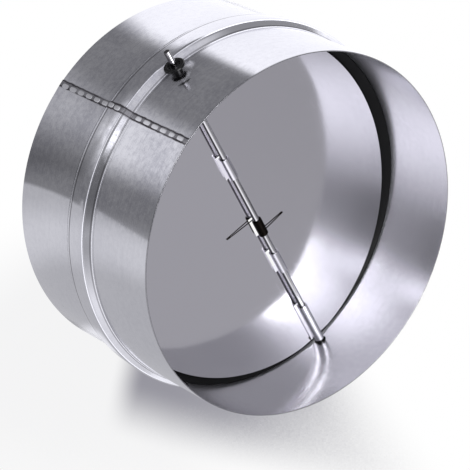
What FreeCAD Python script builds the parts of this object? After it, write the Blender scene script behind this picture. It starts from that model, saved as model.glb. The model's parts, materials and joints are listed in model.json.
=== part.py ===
import FreeCAD, Part

import math
import os

# Backdraft damper for a 200 mm round duct, standing on its rear rim.
# Origin at the centre of the rear rim, +Z along the duct to the front opening, +X along the axle.
# Air enters at the rear. Two half-round blades on one axle open forwards, and a spring shuts them.

# Sleeve: one rolled sheet with a wide bead, all sizes in millimetres
spigot_outer_radius = 99.5
sheet_thickness = 0.5
sleeve_length = 114.0
bead_rear_foot_z = 43.5
bead_shoulder_z = 46.3
bead_shoulder_rise = 2.7
bead_crest_z = 59.3
bead_crest_rise = 4.0
bead_front_foot_z = 65.2
shoulder_bend_radius = 2.0

# Lap seam: the outer end of the sheet, pressed down and welded along the sleeve
lap_edge_angle = 17.4
lap_width = 10.0
lap_rise = 0.3

# Axle rod through the sleeve, just in front of the bead
axle_z = 70.5
rod_radius = 1.75
rod_stick_out = 14.6
rod_end_chamfer = 0.4

# Rubber grommets that hold the rod in the sleeve
grommet_flange_radius = 5.7
grommet_flange_height = 5.4
grommet_flange_thickness = 2.2
grommet_collar_radius = 4.3
grommet_neck_radius = 3.4
grommet_hub_radius = 2.7
grommet_hub_height = 4.1
grommet_dish_depth = 2.0
grommet_edge_bevel = 0.8

# Blades: two half-ellipse plates behind the rod, with tabs that rise and roll round it
blade_thickness = 0.6
blade_face_drop = 3.15
blade_inner_edge = 0.5
blade_wall_gap = 1.0
blade_far_edge_gap = 5.3
blade_shut_tilt = 2.5
knuckle_clearance = 0.25
knuckle_wrap_angle = 300.0
blade_notch_gap = 0.6
notch_side_gap = 0.6
long_knuckle_length = 25.9
long_knuckle_wall_gap = 1.6
left_short_knuckle_start = 25.0
right_short_knuckle_start = -44.2
short_knuckle_length = 14.1

# Torsion spring between the short knuckles
spring_wire_radius = 0.3
spring_coil_clearance = 0.35
spring_turns = 16
spring_right_x = -16.7
spring_pitch = 0.656
spring_face_gap = 0.1
spring_leg_lean = 0.4
spring_leg_start_angle = 60.0
left_leg_reach = 19.0
right_leg_reach = 17.3
wire_sides = 6
facets_per_turn = 10

# Seal: a rubber ring in the groove inside the bead, with a lip that the shut blades meet
seal_front_z = 66.2
seal_groove_gap = 0.2
seal_lip_width = 6.5
seal_lip_slope = 0.9
seal_lip_root_thickness = 4.0
seal_lip_tip_thickness = 0.9

# Small gaps between pieces that are fitted together and don't move
seat_gap = 0.05
rod_fit_gap = 0.02

sleeve_inner_radius = spigot_outer_radius - sheet_thickness
blade_half_width = sleeve_inner_radius - blade_wall_gap
blade_reach = sleeve_inner_radius - blade_far_edge_gap
knuckle_inner_radius = rod_radius + knuckle_clearance
knuckle_outer_radius = knuckle_inner_radius + blade_thickness
blade_back_drop = blade_face_drop + blade_thickness
notch_depth = knuckle_outer_radius + blade_notch_gap
long_knuckle_end = sleeve_inner_radius - long_knuckle_wall_gap
long_knuckle_start = long_knuckle_end - long_knuckle_length
coil_radius = rod_radius + spring_coil_clearance + spring_wire_radius
spring_left_x = spring_right_x + spring_pitch * spring_turns
leg_drop = blade_face_drop - spring_face_gap - spring_wire_radius
seal_lip_radius = sleeve_inner_radius - seal_lip_width

X_AXIS = FreeCAD.Vector(1, 0, 0)
Z_AXIS = FreeCAD.Vector(0, 0, 1)
ORIGIN = FreeCAD.Vector(0, 0, 0)
AXLE_CENTRE = FreeCAD.Vector(0, 0, axle_z)


def section_point(radius, z):
    """A point of a section that is turned about the duct's axis."""
    return FreeCAD.Vector(radius, 0, z)


def bent_path(points, bends):
    """Straight runs through the points, with a tangent arc at each inner point that has a bend radius."""
    corners = [section_point(*point) for point in points]
    edges = []
    start = corners[0]
    for index, bend_radius in enumerate(bends, start=1):
        corner = corners[index]
        if bend_radius == 0:
            edges.append(Part.LineSegment(start, corner).toShape())
            start = corner
            continue
        back = (corners[index - 1] - corner).normalize()
        ahead = (corners[index + 1] - corner).normalize()
        half_opening = back.getAngle(ahead) / 2
        reach = bend_radius / math.tan(half_opening)
        to_arc = bend_radius / math.sin(half_opening) - bend_radius
        arc_middle = corner + (back + ahead).normalize() * to_arc
        arc_end = corner + ahead * reach
        edges.append(Part.LineSegment(start, corner + back * reach).toShape())
        edges.append(Part.Arc(corner + back * reach, arc_middle, arc_end).toShape())
        start = arc_end
    edges.append(Part.LineSegment(start, corners[-1]).toShape())
    return edges


def sleeve_corners(inward):
    """Corners of the sheet's section from rear rim to front rim, moved inward square to each run."""
    radius = spigot_outer_radius
    points = [
        (radius, 0),
        (radius, bead_rear_foot_z),
        (radius + bead_shoulder_rise, bead_shoulder_z),
        (radius + bead_crest_rise, bead_crest_z),
        (radius, bead_front_foot_z),
        (radius, sleeve_length),
    ]
    runs = []
    for first, second in zip(points, points[1:]):
        length = math.hypot(second[0] - first[0], second[1] - first[1])
        runs.append(((second[0] - first[0]) / length, (second[1] - first[1]) / length))
    corners = [(radius - inward, 0)]
    for point, before, after in zip(points[1:-1], runs, runs[1:]):
        share = inward / (1 + before[0] * after[0] + before[1] * after[1])
        corner_radius = point[0] - (before[1] + after[1]) * share
        corners.append((corner_radius, point[1] + (before[0] + after[0]) * share))
    corners.append((radius - inward, sleeve_length))
    return corners


def sleeve_profile(inward, shoulder_bend):
    """One section line of the sheet: folds at the feet and the crest, a round bend at the shoulder."""
    return bent_path(sleeve_corners(inward), [0, shoulder_bend, 0, 0])


def turned(edges, angle=360.0):
    """A solid turned about the duct's axis from a closed section."""
    face = Part.Face(Part.Wire(Part.__sortEdges__(edges)))
    return face.revolve(ORIGIN, Z_AXIS, angle)


def sheet_ring(outside, inside, angle=360.0):
    """The wall between two section lines of the sleeve, given by how far inward each one is."""
    outer_line = sleeve_profile(outside, shoulder_bend_radius - outside)
    inner_line = sleeve_profile(inside, 0)
    rims = []
    for z in (0, sleeve_length):
        outer_end = section_point(spigot_outer_radius - outside, z)
        inner_end = section_point(spigot_outer_radius - inside, z)
        rims.append(Part.LineSegment(outer_end, inner_end).toShape())
    return turned(outer_line + inner_line + rims, angle)


def sleeve_plug(clearance):
    """The sleeve's outer shape as a full solid, grown by a clearance."""
    ends = [
        Part.LineSegment(section_point(0, z), section_point(spigot_outer_radius + clearance, z)).toShape()
        for z in (0, sleeve_length)
    ]
    axis = Part.LineSegment(section_point(0, 0), section_point(0, sleeve_length)).toShape()
    return turned(sleeve_profile(-clearance, shoulder_bend_radius + clearance) + ends + [axis])


def axle_cylinder(radius, from_x, to_x):
    """A cylinder on the axle's line."""
    return Part.makeCylinder(radius, to_x - from_x, FreeCAD.Vector(from_x, 0, axle_z), X_AXIS)


def make_sleeve():
    """The rolled and beaded sheet with its welded lap and the two holes for the grommets."""
    wall = sheet_ring(0, sheet_thickness)
    lap_angle = math.degrees(lap_width / spigot_outer_radius)
    lap = sheet_ring(-lap_rise, sheet_thickness / 2, lap_angle)
    lap.rotate(ORIGIN, Z_AXIS, lap_edge_angle)
    reach = spigot_outer_radius + bead_crest_rise + lap_rise
    hole = axle_cylinder(grommet_neck_radius + seat_gap, -reach, reach)
    return wall.fuse(lap).cut(hole).removeSplitter()


def make_seal():
    """A ring that fills the groove and ends in a sloping lip under the blades' edges."""
    groove = sleeve_corners(sheet_thickness + seal_groove_gap)
    shoulder, crest, front_foot = groove[2:5]
    bore_radius = sleeve_inner_radius - seat_gap
    lip_z = seal_front_z - (bore_radius - seal_lip_radius) * seal_lip_slope
    corners = [
        shoulder,
        crest,
        (bore_radius, front_foot[1]),
        (bore_radius, seal_front_z),
        (seal_lip_radius, lip_z),
        (seal_lip_radius, lip_z - seal_lip_tip_thickness),
        (bore_radius, seal_front_z - seal_lip_root_thickness),
        (bore_radius, shoulder[1]),
        shoulder,
    ]
    return turned(Part.makePolygon([section_point(*corner) for corner in corners]).Edges)


def make_rod():
    """A plain rod with broken ends that passes through both grommets."""
    half_length = spigot_outer_radius + rod_stick_out
    rod = axle_cylinder(rod_radius, -half_length, half_length)
    ends = [edge for edge in rod.Edges if abs(abs(edge.CenterOfMass.x) - half_length) < rod_end_chamfer]
    return rod.makeChamfer(rod_end_chamfer, ends)


def make_grommet(side):
    """A rubber bush: a neck in the sleeve's hole, a collar on the sheet and a dished flange."""
    bore_radius = rod_radius + rod_fit_gap
    wall_x = spigot_outer_radius
    inside_x = sleeve_inner_radius - grommet_flange_thickness
    flange_x = wall_x + grommet_flange_height
    flange_back_x = flange_x - grommet_flange_thickness
    hub_x = wall_x + grommet_hub_height
    rim_width = (grommet_flange_radius - grommet_hub_radius) / 3
    bevel = grommet_edge_bevel
    section = [
        (inside_x, bore_radius),
        (hub_x, bore_radius),
        (hub_x, grommet_hub_radius - bevel / 2),
        (flange_x - grommet_dish_depth, grommet_hub_radius + rim_width / 2),
        (flange_x, grommet_hub_radius + rim_width),
        (flange_x, grommet_flange_radius - bevel),
        (flange_x - bevel, grommet_flange_radius),
        (flange_back_x, grommet_flange_radius),
        (flange_back_x, grommet_collar_radius),
        (inside_x, grommet_collar_radius),
        (inside_x, bore_radius),
    ]
    outline = Part.makePolygon([FreeCAD.Vector(x, 0, axle_z + radius) for x, radius in section])
    flange = Part.Face(outline).revolve(AXLE_CENTRE, X_AXIS, 360).cut(sleeve_plug(seat_gap))
    neck = axle_cylinder(grommet_neck_radius, sleeve_inner_radius, flange_back_x)
    neck = neck.cut(axle_cylinder(bore_radius, inside_x, flange_x))
    grommet = flange.fuse(neck).removeSplitter()
    if side < 0:
        grommet.rotate(ORIGIN, Z_AXIS, 180)
    return grommet


def blade_knuckle(start_x, end_x):
    """A tab that rises from the plate and is rolled round the rod, drawn out along X."""
    corner_distance = math.hypot(blade_back_drop, notch_depth)
    corner_angle = math.atan2(notch_depth, blade_back_drop)
    tab_slope = math.acos(knuckle_outer_radius / corner_distance) - corner_angle
    wrap_start = -math.pi / 2 - tab_slope
    wrap_end = wrap_start - math.radians(knuckle_wrap_angle)
    wrap_middle = (wrap_start + wrap_end) / 2
    face_y = (blade_face_drop - knuckle_inner_radius / math.cos(tab_slope)) / math.tan(tab_slope)

    def point(y, z):
        return FreeCAD.Vector(start_x, y, z)

    def ring_point(radius, angle):
        return point(radius * math.cos(angle), radius * math.sin(angle))

    outer_root = ring_point(knuckle_outer_radius, wrap_start)
    inner_root = ring_point(knuckle_inner_radius, wrap_start)
    outer_end = ring_point(knuckle_outer_radius, wrap_end)
    inner_end = ring_point(knuckle_inner_radius, wrap_end)
    tab_line = [
        inner_root,
        point(face_y, -blade_face_drop),
        point(face_y + blade_thickness, -blade_face_drop),
        point(face_y + blade_thickness, -blade_back_drop),
        point(notch_depth, -blade_back_drop),
        outer_root,
    ]
    edges = [Part.LineSegment(*ends).toShape() for ends in zip(tab_line, tab_line[1:])]
    edges += [
        Part.Arc(outer_root, ring_point(knuckle_outer_radius, wrap_middle), outer_end).toShape(),
        Part.LineSegment(outer_end, inner_end).toShape(),
        Part.Arc(inner_end, ring_point(knuckle_inner_radius, wrap_middle), inner_root).toShape(),
    ]
    return Part.Face(Part.Wire(edges)).extrude(FreeCAD.Vector(end_x - start_x, 0, 0))


def blade_plate():
    """A half-ellipse plate behind the rod, its long axis along the axle."""
    low = -blade_back_drop
    longer = max(blade_half_width, blade_reach)
    shorter = min(blade_half_width, blade_reach)
    outline = Part.Ellipse(FreeCAD.Vector(0, 0, low), longer, shorter).toShape()
    if blade_reach > blade_half_width:
        outline.rotate(ORIGIN, Z_AXIS, 90)
    plate = Part.Face(Part.Wire(outline)).extrude(FreeCAD.Vector(0, 0, blade_thickness))
    keep = Part.makeBox(
        2 * long_knuckle_end,
        blade_reach,
        blade_thickness,
        FreeCAD.Vector(-long_knuckle_end, blade_inner_edge, low),
    )
    return plate.common(keep)


def blade_notch(start_x, end_x):
    """The space cut from a plate's straight edge at each thing that sits on the rod."""
    return Part.makeBox(
        end_x - start_x + 2 * notch_side_gap,
        notch_depth,
        3 * blade_thickness,
        FreeCAD.Vector(start_x - notch_side_gap, 0, -blade_back_drop - blade_thickness),
    )


def make_blade(own_knuckles, free_stretches):
    """A flat plate with its rolled knuckles, drawn for the side towards +Y and not yet tilted."""
    plate = blade_plate()
    for start_x, end_x in own_knuckles + free_stretches:
        plate = plate.cut(blade_notch(start_x, end_x))
    for start_x, end_x in own_knuckles:
        plate = plate.fuse(blade_knuckle(start_x, end_x))
    return plate.removeSplitter()


def set_blade(blade, side):
    """Tilts a blade back to where it shuts, puts it on the axle and turns it to its side."""
    blade.rotate(ORIGIN, X_AXIS, -blade_shut_tilt)
    if side < 0:
        blade.rotate(ORIGIN, Z_AXIS, 180)
    blade.translate(AXLE_CENTRE)
    return blade


def wire_solid(path, radius):
    """A closed tube of flat facets along a path, with a ring of corners square to it at each point."""
    corner_radius = radius * math.sqrt(2 * math.pi / (wire_sides * math.sin(2 * math.pi / wire_sides)))
    rings = []
    for index, point in enumerate(path):
        last = len(path) - 1
        arriving = (point - path[index - 1]).normalize() if index > 0 else ORIGIN
        leaving = (path[index + 1] - point).normalize() if index < last else ORIGIN
        tangent = (arriving + leaving).normalize()
        outward = tangent.cross(X_AXIS).normalize()
        sideways = outward.cross(tangent)
        ring = []
        for side in range(wire_sides):
            angle = 2 * math.pi * (side + 0.5) / wire_sides
            reach = outward * math.cos(angle) + sideways * math.sin(angle)
            ring.append(point + reach * corner_radius)
        rings.append(ring)
    faces = []
    for ring, next_ring in zip(rings, rings[1:]):
        for side in range(wire_sides):
            beside = (side + 1) % wire_sides
            for corners in (
                (ring[side], ring[beside], next_ring[beside]),
                (ring[side], next_ring[beside], next_ring[side]),
            ):
                faces.append(Part.Face(Part.makePolygon([*corners, corners[0]])))
    for end in (rings[0][::-1], rings[-1]):
        faces.append(Part.Face(Part.makePolygon([*end, end[0]])))
    return Part.Solid(Part.Shell(faces))


def make_spring():
    """A close coil round the rod whose two legs lie on the blades' front faces and press them shut."""
    tilt = math.radians(blade_shut_tilt)
    elbow_dip = math.radians(spring_leg_start_angle)
    wound_angle = 2 * math.pi * spring_turns + math.pi - 2 * elbow_dip
    steps = round(wound_angle / (2 * math.pi) * facets_per_turn)

    path = []
    for step in range(steps + 1):
        angle = -elbow_dip - wound_angle * step / steps
        x = spring_left_x + (spring_right_x - spring_left_x) * step / steps
        radial = FreeCAD.Vector(0, coil_radius * math.cos(angle), coil_radius * math.sin(angle))
        path.append(AXLE_CENTRE + FreeCAD.Vector(x, 0, 0) + radial)

    def leg_tip(side, x, reach):
        y = reach * math.cos(tilt) - leg_drop * math.sin(tilt)
        z = -reach * math.sin(tilt) - leg_drop * math.cos(tilt)
        return AXLE_CENTRE + FreeCAD.Vector(x + side * spring_leg_lean, side * y, z)

    left_tip = leg_tip(1, spring_left_x, left_leg_reach)
    right_tip = leg_tip(-1, spring_right_x, right_leg_reach)
    return wire_solid([left_tip, *path, right_tip], spring_wire_radius)


def mirrored_span(span):
    """The same stretch of the axle as seen by the blade that is turned half round."""
    return (-span[1], -span[0])


def export(name, shape):
    """Writes one solid as the node of this name."""
    solids = shape.Solids
    if len(solids) != 1 or not shape.isValid():
        raise ValueError(f"{name} is {len(solids)} solids, valid {shape.isValid()}")
    solids[0].exportStep(f"parts/{name}.step")


def main():
    """Builds every piece and writes it."""
    left_long = (-long_knuckle_end, -long_knuckle_start)
    left_short = (left_short_knuckle_start, left_short_knuckle_start + short_knuckle_length)
    right_long = mirrored_span(left_long)
    right_short = (right_short_knuckle_start, right_short_knuckle_start + short_knuckle_length)
    coil_span = (spring_right_x - spring_wire_radius, spring_left_x + spring_wire_radius)
    left_free = [right_long, right_short, coil_span]
    right_free = [mirrored_span(span) for span in (left_long, left_short, coil_span)]
    right_own = [mirrored_span(span) for span in (right_long, right_short)]

    os.makedirs("parts", exist_ok=True)
    export("duct_sleeve", make_sleeve())
    export("seal_ring", make_seal())
    export("axle_rod", make_rod())
    export("grommet_plus_x", make_grommet(1))
    export("grommet_minus_x", make_grommet(-1))
    export("left_blade", set_blade(make_blade([left_long, left_short], left_free), 1))
    export("right_blade", set_blade(make_blade(right_own, right_free), -1))
    export("torsion_spring", make_spring())


main()
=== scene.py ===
import json
import math

import bpy
import numpy as np
from bpy.props import FloatProperty, FloatVectorProperty, IntProperty, PointerProperty
from mathutils import Matrix, Vector


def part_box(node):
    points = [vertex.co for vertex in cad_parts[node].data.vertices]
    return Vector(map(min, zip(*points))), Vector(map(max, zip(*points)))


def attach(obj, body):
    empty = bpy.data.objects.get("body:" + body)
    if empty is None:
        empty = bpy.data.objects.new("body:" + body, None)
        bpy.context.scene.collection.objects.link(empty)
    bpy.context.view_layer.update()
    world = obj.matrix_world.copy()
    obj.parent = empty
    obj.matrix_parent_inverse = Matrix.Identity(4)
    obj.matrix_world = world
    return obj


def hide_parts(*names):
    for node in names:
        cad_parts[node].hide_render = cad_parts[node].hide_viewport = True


bl_info = {
    "name": "Duct backdraft damper",
    "version": (1, 0, 0),
    "blender": (4, 5, 0),
    "location": "View3D > Sidebar > Damper",
    "description": "Builds the surfaces of a round duct damper with two hinged blades round its fixed frame",
    "category": "Add Mesh",
}

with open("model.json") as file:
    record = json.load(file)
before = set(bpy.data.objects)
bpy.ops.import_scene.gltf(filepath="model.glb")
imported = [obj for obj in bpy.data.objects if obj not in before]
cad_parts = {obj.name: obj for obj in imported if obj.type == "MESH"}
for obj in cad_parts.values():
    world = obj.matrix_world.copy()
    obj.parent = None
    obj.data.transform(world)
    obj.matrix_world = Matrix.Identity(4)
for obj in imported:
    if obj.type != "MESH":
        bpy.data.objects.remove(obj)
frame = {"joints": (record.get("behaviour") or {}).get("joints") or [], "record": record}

MM = 0.001
MOUNTS = {mount["name"]: mount for mount in frame["record"]["mounts"]}
SPIGOT_RADIUS = MOUNTS["rear_spigot"]["dims"]["r_mm"] * MM
SLEEVE_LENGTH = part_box("duct_sleeve")[1].z
AXLE_HEIGHT = frame["joints"][0]["pos_m"][2]
ROD_HALF_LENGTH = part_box("axle_rod")[1].x
ROD_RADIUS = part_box("axle_rod")[1].y

# The studio's light as the metal mirrors it: its tint, and its level where no soft box or field lies
STUDIO_TINT = (0.95, 0.95, 1.0, 1.0)
ROOM_LEVEL = 0.36
FLOOR_LEVEL = 0.26
FLOOR_SIZE = 6.0

# The floor's shadow: the reach of its shade in metres, and the azimuth and elevation of the wide box
SHADOW_REACH = 0.4
SHADOW_BOX = (-15, 45)

# A soft box nearly overhead: metres square, watts, azimuth and elevation, metres from the origin
LAMP_SIZE = 0.8
LAMP_POWER = 14
LAMP_BEARING = (-3, 78)
LAMP_DISTANCE = 1.5

# The photograph's camera, 1.65 m from the rear rim's centre, turned as the photograph is
CAMERA_PLACE = (0.9366, 0.5072, 1.2566)
CAMERA_RIGHT = (-0.3840, -0.7045, 0.5969)
CAMERA_UP = (0.7095, -0.6389, -0.2976)
CAMERA_LENS = 229.8
CAMERA_SENSOR = 36


def linear(hex_colour):
    """Turns an sRGB hex colour into linear red, green and blue."""
    values = [int(hex_colour[place:place + 2], 16) / 255 for place in (1, 3, 5)]
    return [value / 12.92 if value <= 0.04045 else ((value + 0.055) / 1.055) ** 2.4 for value in values]


def length(name, description, millimetres):
    """A length property with its default in millimetres."""
    return FloatProperty(
        name=name, description=description, default=millimetres * MM, unit="LENGTH", precision=5
    )


def angle(name, description, degrees):
    """An angle property with its default in degrees."""
    return FloatProperty(
        name=name, description=description, default=math.radians(degrees), unit="ROTATION"
    )


def colour(name, description, hex_colour):
    """A colour property with its default as an sRGB hex value."""
    return FloatVectorProperty(
        name=name,
        description=description,
        subtype="COLOR",
        size=3,
        min=0,
        max=1,
        default=linear(hex_colour),
    )


class SleeveSizes(bpy.types.PropertyGroup):
    """The rolled sheet, its bead and its welded lap"""

    thickness: length("Sheet thickness", "Thickness of the rolled sheet", 0.5)
    rear_foot: length("Rear foot", "Height where the bead starts", 43.5)
    shoulder: length("Shoulder", "Height of the bead's rear corner", 46.3)
    shoulder_rise: length("Shoulder rise", "How far the bead's rear corner stands out", 2.7)
    crest: length("Crest", "Height of the bead's front corner", 61.9)
    crest_rise: length("Crest rise", "How far the bead's front corner stands out", 3.9)
    front_foot: length("Front foot", "Height where the bead ends", 65.6)
    rear_foot_bend: length("Rear foot bend", "Bend radius at the rear foot", 1.4)
    shoulder_bend: length("Shoulder bend", "Bend radius at the shoulder", 7.5)
    crest_bend: length("Crest bend", "Bend radius at the crest", 3.5)
    front_foot_bend: length("Front foot bend", "Bend radius at the front foot", 1.6)
    edge_bend: length("Edge rounding", "Rounding of the sheet's cut edges", 0.12)
    lap_edge: angle("Lap edge", "Where the outer end of the sheet lies", 17.4)
    lap_width: length("Lap width", "Width over which the lap sinks back to the sheet", 10.0)
    lap_rise: length("Lap rise", "How far the lap's edge stands out", 0.3)


class WeldSizes(bpy.types.PropertyGroup):
    """The row of weld spots along the lap"""

    centre: angle("Centre line", "Where the row of spots lies", 18.5)
    drift: length("Drift", "How far the row leans from the centre line at the rear rim", 1.0)
    spot_length: length("Spot length", "Length of one spot along the row", 5.4)
    spot_width: length("Spot width", "Width of one spot", 2.5)
    proud: length("Spot height", "How far a spot stands out of the sheet", 0.1)


class SealSizes(bpy.types.PropertyGroup):
    """The rubber ring behind the blades"""

    front: length("Front edge", "Height of the ring's front edge at the wall", 66.2)
    groove_gap: length("Groove gap", "Gap between the ring and the inside of the bead", 0.2)
    seat_gap: length("Seat gap", "Gap between the ring and the wall", 0.05)
    lip_width: length("Lip width", "How far the lip reaches inward", 6.5)
    lip_slope: FloatProperty(
        name="Lip slope", description="Fall of the lip for each unit inward", default=0.9
    )
    root: length("Root", "Thickness of the lip at the wall", 4.0)
    tip: length("Tip", "Thickness of the lip at its end", 0.9)


class GrommetSizes(bpy.types.PropertyGroup):
    """The rubber grommets that hold the rod"""

    flange_radius: length("Flange radius", "Radius of the flange", 5.9)
    flange_height: length("Flange height", "Height of the flange's rim over the sheet", 5.6)
    flange_thickness: length("Flange thickness", "Thickness of the flange at its rim", 1.6)
    collar_radius: length("Collar radius", "Radius of the collar between sheet and flange", 3.3)
    neck_radius: length("Neck radius", "Radius of the neck in the sheet's hole", 3.2)
    hub_radius: length("Hub radius", "Radius of the hub round the rod", 2.7)
    hub_height: length("Hub height", "Height of the hub over the sheet", 4.6)
    dish: length("Dish", "Depth of the dish between hub and rim", 1.4)
    bore_gap: length("Bore gap", "Gap between the bore and the rod", 0.02)


class BladeSizes(bpy.types.PropertyGroup):
    """The two half-round blades and their rolled knuckles"""

    thickness: length("Blade thickness", "Thickness of the blade sheet", 0.6)
    half_width: length("Half width", "Reach of a blade along the rod", 98.0)
    reach: length("Reach", "Reach of a blade across the duct", 93.7)
    tilt: angle("Shut tilt", "How far a shut blade leans back", 2.5)
    face_drop: length("Face drop", "How far a plate's front face lies behind the rod's centre", 3.15)
    bore: length("Knuckle bore", "Inner radius of a knuckle", 2.0)
    wrap: angle("Knuckle wrap", "How far a knuckle goes round the rod", 300)
    inner_edge: length("Inner edge", "Distance of a plate's straight edge from the rod's centre", 0.5)
    notch: length("Notch depth", "Distance of a notch's floor from the rod's centre", 3.2)
    notch_side: length("Notch side gap", "Gap beside what sits in a notch", 0.6)
    long_end: length("Long knuckle end", "Place of the long knuckle's outer end", 97.4)
    long_length: length("Long knuckle", "Length of the long knuckle", 25.9)
    left_short: length("Left short knuckle", "Where the left blade's short knuckle starts", 25.0)
    right_short: length("Right short knuckle", "Where the right blade's short knuckle starts", 30.1)
    short_length: length("Short knuckle", "Length of a short knuckle", 14.1)
    edge_bevel: length("Edge bevel", "Width of the broken edges", 0.1)


class SpringSizes(bpy.types.PropertyGroup):
    """The torsion spring between the short knuckles"""

    wire_radius: length("Wire radius", "Radius of the spring wire", 0.3)
    coil_radius: length("Coil radius", "Radius of the coil's centre line", 2.4)
    start: length("Coil start", "Place of the right-hand end of the coil", -16.7)
    pitch: length("Pitch", "Distance between turns", 0.656)
    turns: IntProperty(name="Turns", description="Number of turns in the coil", default=16)
    leg_start: angle("Leg start", "How far below the level of the rod a leg leaves the coil", 60)
    leg_drop: length("Leg drop", "How far a leg's tip lies behind the rod's centre", 2.75)
    lean: length("Leg lean", "Sideways lean of a leg over its length", 0.4)
    left_reach: length("Left leg", "Reach of the left leg", 19.0)
    right_reach: length("Right leg", "Reach of the right leg", 17.3)


class FinishColours(bpy.types.PropertyGroup):
    """The colours that the finishes start from"""

    sheet: colour("Sheet", "Rolled sheet of the sleeve", "#e6e6ea")
    sheet_dull: colour("Dull sheet", "Duller patches of the rolled sheet", "#c6c6cd")
    # Also the colour of the painted shade in the bead's folds, round the holes and on the rod's flanks
    heat_tint_and_shade: colour("Heat tint", "Sheet beside the weld", "#4a474b")
    weld: colour("Weld", "Metal of the weld spots", "#e0e0e3")
    blade: colour("Blade", "Sheet of the blades", "#e2e0e6")
    rod: colour("Rod", "Drawn bar of the rod", "#dad9db")
    spring: colour("Spring", "Wire of the spring", "#191513")
    rubber: colour("Rubber", "Rubber of the seal and the grommets", "#050506")
    floor: colour("Floor", "Floor under the damper", "#f2f2f6")
    shadow: colour("Shadow", "Floor in the damper's shadow", "#97969f")


class DamperSettings(bpy.types.PropertyGroup):
    """All sizes and colours of the damper"""

    sleeve: PointerProperty(type=SleeveSizes)
    weld: PointerProperty(type=WeldSizes)
    seal: PointerProperty(type=SealSizes)
    grommet: PointerProperty(type=GrommetSizes)
    blade: PointerProperty(type=BladeSizes)
    spring: PointerProperty(type=SpringSizes)
    colours: PointerProperty(type=FinishColours)


# Surfaces worked out as arrays

def unit(vectors):
    """Each vector divided by its own length."""
    return vectors / np.linalg.norm(vectors, axis=-1, keepdims=True)


def smooth_step(values):
    """3t squared less 2t cubed between 0 and 1, flat outside."""
    t = np.clip(values, 0, 1)
    return t * t * (3 - 2 * t)


def rounded_outline(corners, bends, steps=7):
    """A closed outline with an arc at each corner.

    Each arc touches both runs at the bend radius times the tangent of half the turn from its corner,
    and its points are the arc's centre plus an arm that is turned by equal steps through the whole turn.
    """
    corners = np.asarray(corners, float)
    bends = np.asarray(bends, float)[:, None]
    before = unit(corners - np.roll(corners, 1, axis=0))
    after = unit(np.roll(corners, -1, axis=0) - corners)
    cross = before[:, 0] * after[:, 1] - before[:, 1] * after[:, 0]
    turn = np.arctan2(cross, np.sum(before * after, axis=1))[:, None]
    inward = np.sign(turn) * np.stack([-before[:, 1], before[:, 0]], axis=1)
    centre = corners - before * bends * np.tan(np.abs(turn) / 2) + inward * bends
    arm = -inward * bends
    swing = turn * np.linspace(0, 1, steps)[None, :]
    x = centre[:, :1] + arm[:, :1] * np.cos(swing) - arm[:, 1:] * np.sin(swing)
    y = centre[:, 1:] + arm[:, :1] * np.sin(swing) + arm[:, 1:] * np.cos(swing)
    return np.stack([x, y], axis=-1).reshape(-1, 2)


def turned_grid(section, angles):
    """The section's radius and height swept round the duct's axis, one row for each angle."""
    radius, height = section[..., 0], section[..., 1]
    bearing = angles[:, None]
    height = np.broadcast_to(height, np.broadcast_shapes(radius.shape, (len(angles), 1)))
    return np.stack([radius * np.cos(bearing), radius * np.sin(bearing), height], axis=-1)


def wire_grid(path, radius, sides):
    """A ring of points square to the path at each of its points.

    Its two arms are the direction crossed with the X axis, and the direction crossed with that.
    """
    tangent = unit(np.gradient(path, axis=0))
    across = unit(np.cross(tangent, [1.0, 0.0, 0.0]))
    beside = np.cross(tangent, across)
    turn = np.linspace(0, 2 * np.pi, sides, endpoint=False)[None, :, None]
    return path[:, None] + radius * (across[:, None] * np.cos(turn) + beside[:, None] * np.sin(turn))


def enclosed_volume(points, polygons):
    """Six times the signed volume in the polygons: the sum of the triple products of their triangles."""
    total = 0.0
    for corners in polygons:
        first = points[corners[:, :1]]
        second = points[corners[:, 1:-1]]
        third = points[corners[:, 2:]]
        total += np.sum(first * np.cross(second, third))
    return total


def shaded(mesh, sharp_degrees):
    """The mesh shaded smooth, apart from its edges that turn by more than an angle in degrees."""
    mesh.shade_smooth()
    mesh.set_sharp_from_angle(angle=math.radians(sharp_degrees))
    mesh.update()
    return mesh


def surface_mesh(name, grids, closed_length=False, u=None, v=None):
    """A mesh of one or more grids[piece, length, girth].

    The girth always closes on itself. The length closes too, or gets a flat face at each end.
    The faces are turned outwards by the sign of the volume that they enclose.
    """
    pieces, rows_along, girth = grids.shape[:3]
    steps = rows_along if closed_length else rows_along - 1
    row, column = np.meshgrid(np.arange(steps), np.arange(girth), indexing="ij")
    rows = np.stack([row, row, row + 1, row + 1], axis=-1).reshape(-1, 4)
    columns = np.stack([column, column + 1, column + 1, column], axis=-1).reshape(-1, 4)
    quads = (rows % rows_along) * girth + columns % girth
    first_ring = np.arange(girth)[None, :]
    caps = np.zeros((0, girth), int)
    if not closed_length:
        caps = np.concatenate([first_ring[:, ::-1], first_ring + (rows_along - 1) * girth])
    points = grids.reshape(pieces, -1, 3)
    centred = points[0] - points[0].mean(axis=0)
    if enclosed_volume(centred, [quads, caps]) < 0:
        quads, rows, columns, caps = (part[:, ::-1] for part in (quads, rows, columns, caps))
    offset = np.arange(pieces)[:, None, None] * rows_along * girth
    faces = (quads + offset).reshape(-1, 4).tolist() + (caps + offset).reshape(-1, girth).tolist()

    mesh = bpy.data.meshes.new(name)
    mesh.from_pydata(points.reshape(-1, 3), [], faces)
    if u is not None:
        layer = mesh.uv_layers.new(name="sheet")
        layer.data.foreach_set("uv", np.stack([u[rows], v[columns]], axis=-1).astype(np.float32).ravel())
    return shaded(mesh, 40)


def add_piece(name, mesh, material, slot, body, *nodes):
    """Adds a piece of the damper that rides on a body and stands for the given CAD nodes."""
    piece = bpy.data.objects.new(name, mesh)
    bpy.context.scene.collection.objects.link(piece)
    mesh.materials.append(material)
    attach(piece, body)
    if nodes:
        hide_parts(*nodes)
    return piece


# Shader nodes

WHITE = (1.0, 1.0, 1.0, 1.0)


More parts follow.
